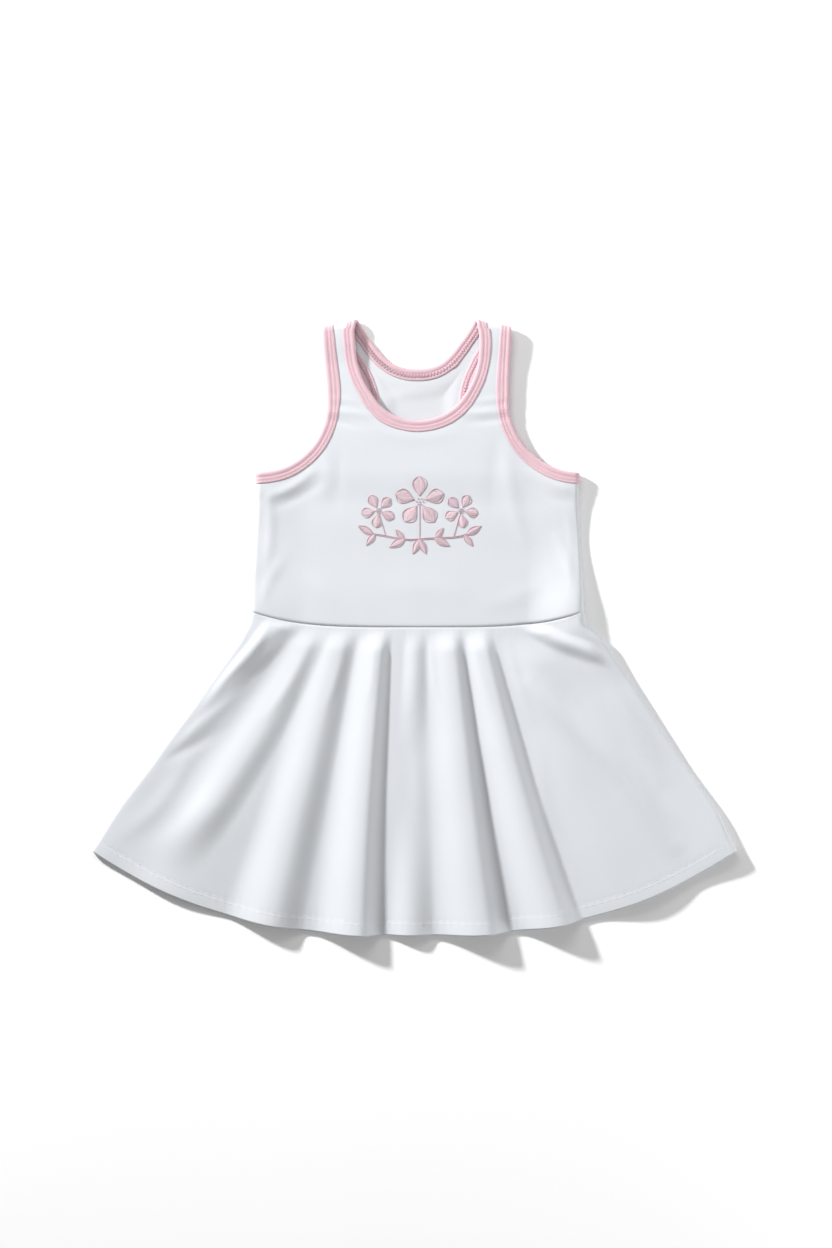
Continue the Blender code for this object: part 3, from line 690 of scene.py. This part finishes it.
def skirtPanel(name, layer, columns, material):
    rolls = np.linspace(1, 2, fineness["rollSteps"] + 1)[1:]
    across = np.concatenate([-rolls[::-1], np.linspace(-1, 1, columns + 1), rolls])
    drop = skirt["drop"]
    seam = np.array([0.0, 0.6, 1.3, 2.2, 3.4])
    body = np.linspace(5.0, drop - 16.0, fineness["skirtRows"])
    band = drop - np.array([14.3, 13.0, 11.5, 9.0, 6.0, 3.0, 1.2, 0.0])
    down = np.concatenate([seam, body, band])[::-1] / drop
    mesh = bmesh.new()
    layGrid(mesh, skirtPlace(across[None, :], down[:, None], layer))
    piece = makePiece(name, mesh, material)
    distance = np.array([v.co.y for v in piece.data.vertices]) / mm
    flatX = np.array([v.co.x for v in piece.data.vertices]) / mm
    fromHem = distance - hemY(np.clip(flatX, -skirt["hemHalf"], skirt["hemHalf"]))

    # the cloth is double where the hem is turned up
    wall = addWall(piece, hemLook["turnedCloth"])
    group = piece.vertex_groups.new(name="hem")
    for index, share in enumerate(smooth((hemLook["depth"] + 1.0 - fromHem) / 2.0)):
        if share > 0:
            group.add([index], float(share), "REPLACE")
    wall.vertex_group = "hem"
    wall.thickness_vertex_group = hemLook["cloth"] / hemLook["turnedCloth"]
    return piece


# The bindings
bindingLook = {
    "stationEvery": 1.3, "rowA": 7.6, "rowB": 4.6, "stitchEvery": 2.6, "stitchLength": 2.1, "thread": 0.21,
    "looper": 0.3, "looperInside": -1.42, "stitchRises": (0.86, 1.16, 1.22, 1.16, 0.86),
}
outerArm = [  # inset from the fold, height off the panel's middle
    (9.6, 0.38), (10.0, 0.55), (9.9, 0.95), (9.4, 1.22), (8.6, 1.34), (8.0, 1.22), (7.6, 1.0), (7.2, 1.2),
    (6.1, 1.42), (5.1, 1.26), (4.6, 1.02), (4.1, 1.28), (3.2, 1.6), (2.2, 1.74), (1.2, 1.55), (0.4, 0.95),
]
innerArm = [(inset, -height) for inset, height in reversed(outerArm)]
bindingSection = [*outerArm, (0.0, 0.0), *innerArm, (2.2, -0.38), (1.5, 0.0), (2.2, 0.38)]


def neckRing():
    return [(frontNeck, 1, 1, 1), (backNeck, 1, -1, -1), (backNeck, -1, -1, 1), (frontNeck, -1, 1, -1)]


def armholeRing(side):
    return [(frontArmhole, side, 1, 1), (backArmhole, side, -1, -1)]


def onBinding(edge, side, layer, runs, inset, off):
    flat = boundPoints(edge, runs, inset)
    x, y = side * flat[:, 0], flat[:, 1]
    return bodicePlace(x, y, layer) + bodiceNormal(x, y, layer) * np.asarray(off)[..., None]


def binding(name, ring, material):
    strips = []
    for edge, side, layer, direction in ring:
        runs = stations(edge, int(edge.length / bindingLook["stationEvery"]))
        toSeam = edge.length - runs
        if edge.fromSide:
            toSeam = np.minimum(toSeam, runs)
        drawnIn = 1 - 0.28 * np.exp(-((toSeam / 0.8) ** 2))
        swell = 0.97 + 0.03 * np.sin(runs / 2.1 + side) + 0.02 * np.sin(runs / 5.3 + 2 * layer)
        rows = [onBinding(edge, side, layer, runs, s, np.full(len(runs), h) * drawnIn * swell)
                for s, h in [*bindingSection, bindingSection[0]]]
        rows = np.stack(rows)[:, ::direction]
        strips.append(rows[:, :-1])
    around = np.concatenate([*strips, strips[0][:, :1]], 1)
    mesh = bmesh.new()
    layGrid(mesh, around)
    bmesh.ops.remove_doubles(mesh, verts=mesh.verts, dist=0.01 * mm)
    bmesh.ops.recalc_face_normals(mesh, faces=mesh.faces)
    return makePiece(name, mesh, material)


def normalBetween(edge, side, layer, runs):
    flat = boundPoints(edge, (runs[:-1] + runs[1:]) / 2, 6.0)
    return bodiceNormal(side * flat[:, 0], flat[:, 1], layer)


def bindingStitches(name, ring, material):
    # two rows of short stitches outside, and the thread that zigzags between them inside
    mesh = bmesh.new()
    every, length = bindingLook["stitchEvery"], bindingLook["stitchLength"]
    for edge, side, layer, _ in ring:
        count = int(edge.length / every)
        starts = (np.arange(count) + 0.5) * edge.length / count - length / 2
        for row in (bindingLook["rowA"], bindingLook["rowB"]):
            offs = np.tile(bindingLook["stitchRises"], count)
            runs = (starts[:, None] + np.linspace(0, length, 5)).ravel()
            path = onBinding(edge, side, layer, runs, row, offs).reshape(count, 5, 3)
            for stitch in path:
                addThread(mesh, stitch, bindingLook["thread"])
        zigzag = np.arange(0, edge.length, every / 2)
        inside = np.full(len(zigzag), bindingLook["looperInside"])
        ends = [onBinding(edge, side, layer, zigzag, inset, inside)
                for inset in (bindingLook["rowA"] + 0.3, bindingLook["rowB"] - 0.3)]
        path = np.where((np.arange(len(zigzag)) % 2 == 0)[:, None], ends[0], ends[1])
        looper = np.empty((2 * len(path) - 1, 3))
        looper[0::2] = path
        looper[1::2] = (path[:-1] + path[1:]) / 2 - normalBetween(edge, side, layer, zigzag) * 0.22
        addThread(mesh, looper, bindingLook["looper"])
    return makePiece(name, mesh, material, 0.0005)


hemStitch = {"rows": (13.0, 10.2), "count": 210, "reach": 0.985, "length": 0.0078, "thread": 0.17}


def hemStitches(name, layer, offs, material):
    # two rows of stitches round the turned-up hem
    mesh = bmesh.new()
    for fromHem in hemStitch["rows"]:
        down = np.full(5, 1 - fromHem / skirt["drop"])
        for start in np.linspace(-hemStitch["reach"], hemStitch["reach"], hemStitch["count"]):
            across = start + np.linspace(0, hemStitch["length"], 5)
            addThread(mesh, skirtPlace(across, down, layer, np.array(offs)), hemStitch["thread"], 4)
    return makePiece(name, mesh, material, 0.0005)


# The stitched spray of flowers on the chest: a generic one, three blossoms on a bowed stem
spray = {
    "centre": (1.7, 93.0), "fillThread": 0.32, "fillEvery": 0.62, "raised": 0.42, "outlineThread": 0.33,
    "outlineRise": 0.3, "stemHalf": 49.0, "stemThreads": 0.55, "stalkLean": 0.82, "knotThread": 0.55,
    "blossoms": [  # middle x and y, radius, direction of the first petal in degrees
        (0.0, 17.0, 22.0, 90.0), (-36.0, 9.0, 15.0, 118.0), (36.0, 9.0, 15.0, 62.0),
    ],
    "leaves": [  # x along the stem, direction in degrees, length
        (-13.0, 208.0, 15.0), (-14.0, 128.0, 11.0), (13.0, 332.0, 15.0), (14.0, 52.0, 11.0),
        (-41.0, 150.0, 14.5), (-39.0, 232.0, 12.0), (41.0, 30.0, 14.5), (39.0, 308.0, 12.0),
        (0.0, 246.0, 14.0), (0.0, 294.0, 14.0),
    ],
}


def stemY(x):
    return -16.0 + 6.5 * (x / 50.0) ** 2 + 0.6 * np.sin(x / 7.0)


def onChest(points, off):
    x = points[:, 0] + spray["centre"][0]
    y = points[:, 1] + spray["centre"][1]
    place = bodicePlace(x, y, 1)
    return place + np.array([0, 0, 1.0]) * (hemLook["cloth"] / 2 + np.asarray(off)[..., None])


def turned(points, degrees, centre):
    angle = math.radians(degrees)
    c, s = math.cos(angle), math.sin(angle)
    x, y = points[:, 0], points[:, 1]
    return np.stack([centre[0] + c * x - s * y, centre[1] + s * x + c * y], -1)


def petalHalfWidth(t, length):
    return length * 0.36 * np.sin(math.pi * np.clip(t, 0, 1) ** 1.5) ** 0.8


def leafHalfWidth(t, length):
    return length * 0.21 * np.sin(math.pi * np.clip(t, 0, 1) ** 0.85)


def sewCord(outline, points):
    rise = np.full(len(points), spray["outlineRise"])
    addThread(outline, onChest(points, rise), spray["outlineThread"])


def filledShape(fill, outline, halfWidth, base, degrees, start, length):
    # slanted satin threads across the shape, and a cord round it
    count = int(length / spray["fillEvery"])
    for k in range(1, count):
        t = k / count
        width = halfWidth(t, length) - 0.25
        if width < 0.3:
            continue
        s = np.linspace(-1, 1, 5)
        points = np.stack([start + t * length - 0.35 * width * np.abs(s), width * s], -1)
        off = 0.10 + spray["raised"] * (1 - s**2)
        addThread(fill, onChest(turned(points, degrees, base), off), spray["fillThread"], 4)
    t = np.linspace(0, 1, 17)
    top = np.stack([start + t * length, halfWidth(t, length)], -1)
    loop = np.concatenate([top, (top * [1, -1])[::-1][1:]])
    sewCord(outline, turned(loop, degrees, base))


def flowerSpray(fillMaterial, outlineMaterial):
    fill, outline = bmesh.new(), bmesh.new()
    x = np.linspace(-spray["stemHalf"], spray["stemHalf"], 60)
    for apart in (spray["stemThreads"], -spray["stemThreads"]):
        sewCord(outline, np.stack([x, stemY(x) + apart], -1))
    for cx, cy, radius, lead in spray["blossoms"]:
        foot = cx * spray["stalkLean"]
        sewCord(outline, line(np.array([foot, stemY(foot)]), np.array([cx, cy]), 8))
        for k in range(5):
            degrees = lead + 72 * k
            filledShape(fill, outline, petalHalfWidth, (cx, cy), degrees, radius * 0.2, radius * 0.8)
        for k in range(7):
            angle = 2 * math.pi * k / 6
            reach = 0.0 if k == 6 else radius * 0.13
            knot = np.array([[cx + reach * math.cos(angle) + dx, cy + reach * math.sin(angle)]
                             for dx in (-0.5, -0.2, 0.2, 0.5)])
            addThread(outline, onChest(knot, np.array([0.3, 0.6, 0.6, 0.3])), spray["knotThread"], 6)
    for x, degrees, length in spray["leaves"]:
        filledShape(fill, outline, leafHalfWidth, (x, stemY(x)), degrees, 0.0, length)
    return [makePiece("chestSprayThreads", fill, fillMaterial, 0.0005),
            makePiece("chestSprayCords", outline, outlineMaterial, 0.0005)]


# Materials
print("materials")
whiteCloth = knitMaterial("whiteJersey", jersey)
pinkCloth = knitMaterial("pinkRibKnit", ribKnit)
pinkThread = threadMaterial("pinkThread", (0.69, 0.50, 0.55, 1.0), (0.62, 0.40, 0.46, 1.0))
whiteThread = threadMaterial("whiteThread", (0.68, 0.70, 0.72, 1.0), (0.60, 0.62, 0.65, 1.0))
palePinkThread = threadMaterial("palePinkThread", (0.76, 0.61, 0.65, 1.0), (0.72, 0.55, 0.60, 1.0), 0.38)
mauveThread = threadMaterial("mauveThread", (0.60, 0.41, 0.47, 1.0), (0.53, 0.34, 0.40, 1.0), 0.42)

print("panels")
bodiceFront = bodicePanel("bodiceFrontCloth", 1, frontNeck, frontArmhole, 0.33, 148.0, whiteCloth)
bodiceBack = bodicePanel("bodiceBackCloth", -1, backNeck, backArmhole, 0.45, 146.0, whiteCloth)
skirtFront = skirtPanel("skirtFrontCloth", 1, fineness["skirtColumns"], whiteCloth)
skirtBack = skirtPanel("skirtBackCloth", -1, fineness["skirtBackColumns"], whiteCloth)

print("bindings")
neckBinding = binding("neckBindingKnit", neckRing(), pinkCloth)
rightBinding = binding("armholeBindingRightKnit", armholeRing(1), pinkCloth)
leftBinding = binding("armholeBindingLeftKnit", armholeRing(-1), pinkCloth)

print("stitches")
neckStitches = bindingStitches("neckStitches", neckRing(), pinkThread)
rightStitches = bindingStitches("armholeStitchesRight", armholeRing(1), pinkThread)
leftStitches = bindingStitches("armholeStitchesLeft", armholeRing(-1), pinkThread)
frontHemStitches = hemStitches("hemStitchesFront", 1, (0.3, 0.52, 0.58, 0.52, 0.3), whiteThread)
backHemStitches = hemStitches("hemStitchesBack", -1, (-0.18, -0.3, -0.33, -0.3, -0.18), whiteThread)

print("chest spray")
sprayPieces = flowerSpray(palePinkThread, mauveThread)

for piece, node in ((bodiceFront, "bodice_front"), (bodiceBack, "bodice_back"),
                    (skirtFront, "skirt_front"), (skirtBack, "skirt_back"), (neckBinding, "neck_binding"),
                    (rightBinding, "armhole_binding_right"), (leftBinding, "armhole_binding_left")):
    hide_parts(node)

print("studio")
studio = {
    "floorSize": 6.0, "cameraAt": (0.00218, 0.00305, 2.574), "lens": 85.0,
    "keyAt": (-1.0, 0.80, 0.58), "keyStrength": 64.0, "keyRadius": 0.065,
    "topAt": (-0.10, 0.95, 0.80), "topSize": 0.8, "topStrength": 6.3, "fill": 0.31,
    "sideAt": (1.30, -0.45, 0.24), "sideSize": 0.5, "sideStrength": 10.0,
}


def buildStudio():
    mesh = bmesh.new()
    bmesh.ops.create_grid(mesh, x_segments=2, y_segments=2, size=studio["floorSize"] / 2)
    data = bpy.data.meshes.new("paleFloor")
    mesh.to_mesh(data)
    mesh.free()
    floor = bpy.data.objects.new("paleFloor", data)
    bpy.context.scene.collection.objects.link(floor)
    data.materials.append(floorMaterial())

    camera = bpy.data.cameras.new("camera")
    camera.lens = studio["lens"]
    viewer = bpy.data.objects.new("camera", camera)
    viewer.location = studio["cameraAt"]
    bpy.context.scene.collection.objects.link(viewer)
    bpy.context.scene.camera = viewer

    # a low key from the upper left that doesn't fade with distance, so that the floor stays white
    key = bpy.data.lights.new("key", "POINT")
    key.energy = studio["keyStrength"]
    key.shadow_soft_size = studio["keyRadius"]
    key.use_nodes = True
    falloff = key.node_tree.nodes.new("ShaderNodeLightFalloff")
    falloff.inputs["Strength"].default_value = 1.0
    glow = key.node_tree.nodes["Emission"]
    key.node_tree.links.new(falloff.outputs["Constant"], glow.inputs["Strength"])
    lamp = bpy.data.objects.new("key", key)
    lamp.location = studio["keyAt"]
    bpy.context.scene.collection.objects.link(lamp)

    for name, toward in (("top", Vector((0.0, 0.0, -1.0))), ("side", -Vector(studio["sideAt"]))):
        soft = bpy.data.lights.new(name, "AREA")
        soft.energy = studio[name + "Strength"]
        soft.size = studio[name + "Size"]
        panel = bpy.data.objects.new(name, soft)
        panel.location = studio[name + "At"]
        panel.rotation_euler = toward.to_track_quat("-Z", "Y").to_euler()
        bpy.context.scene.collection.objects.link(panel)

    world = bpy.data.worlds.new("studio")
    world.use_nodes = True
    sky = world.node_tree.nodes["Background"]
    sky.inputs["Color"].default_value = (1.0, 1.0, 1.0, 1.0)
    sky.inputs["Strength"].default_value = studio["fill"]
    bpy.context.scene.world = world
    bpy.context.scene.view_settings.view_transform = "Standard"


buildStudio()
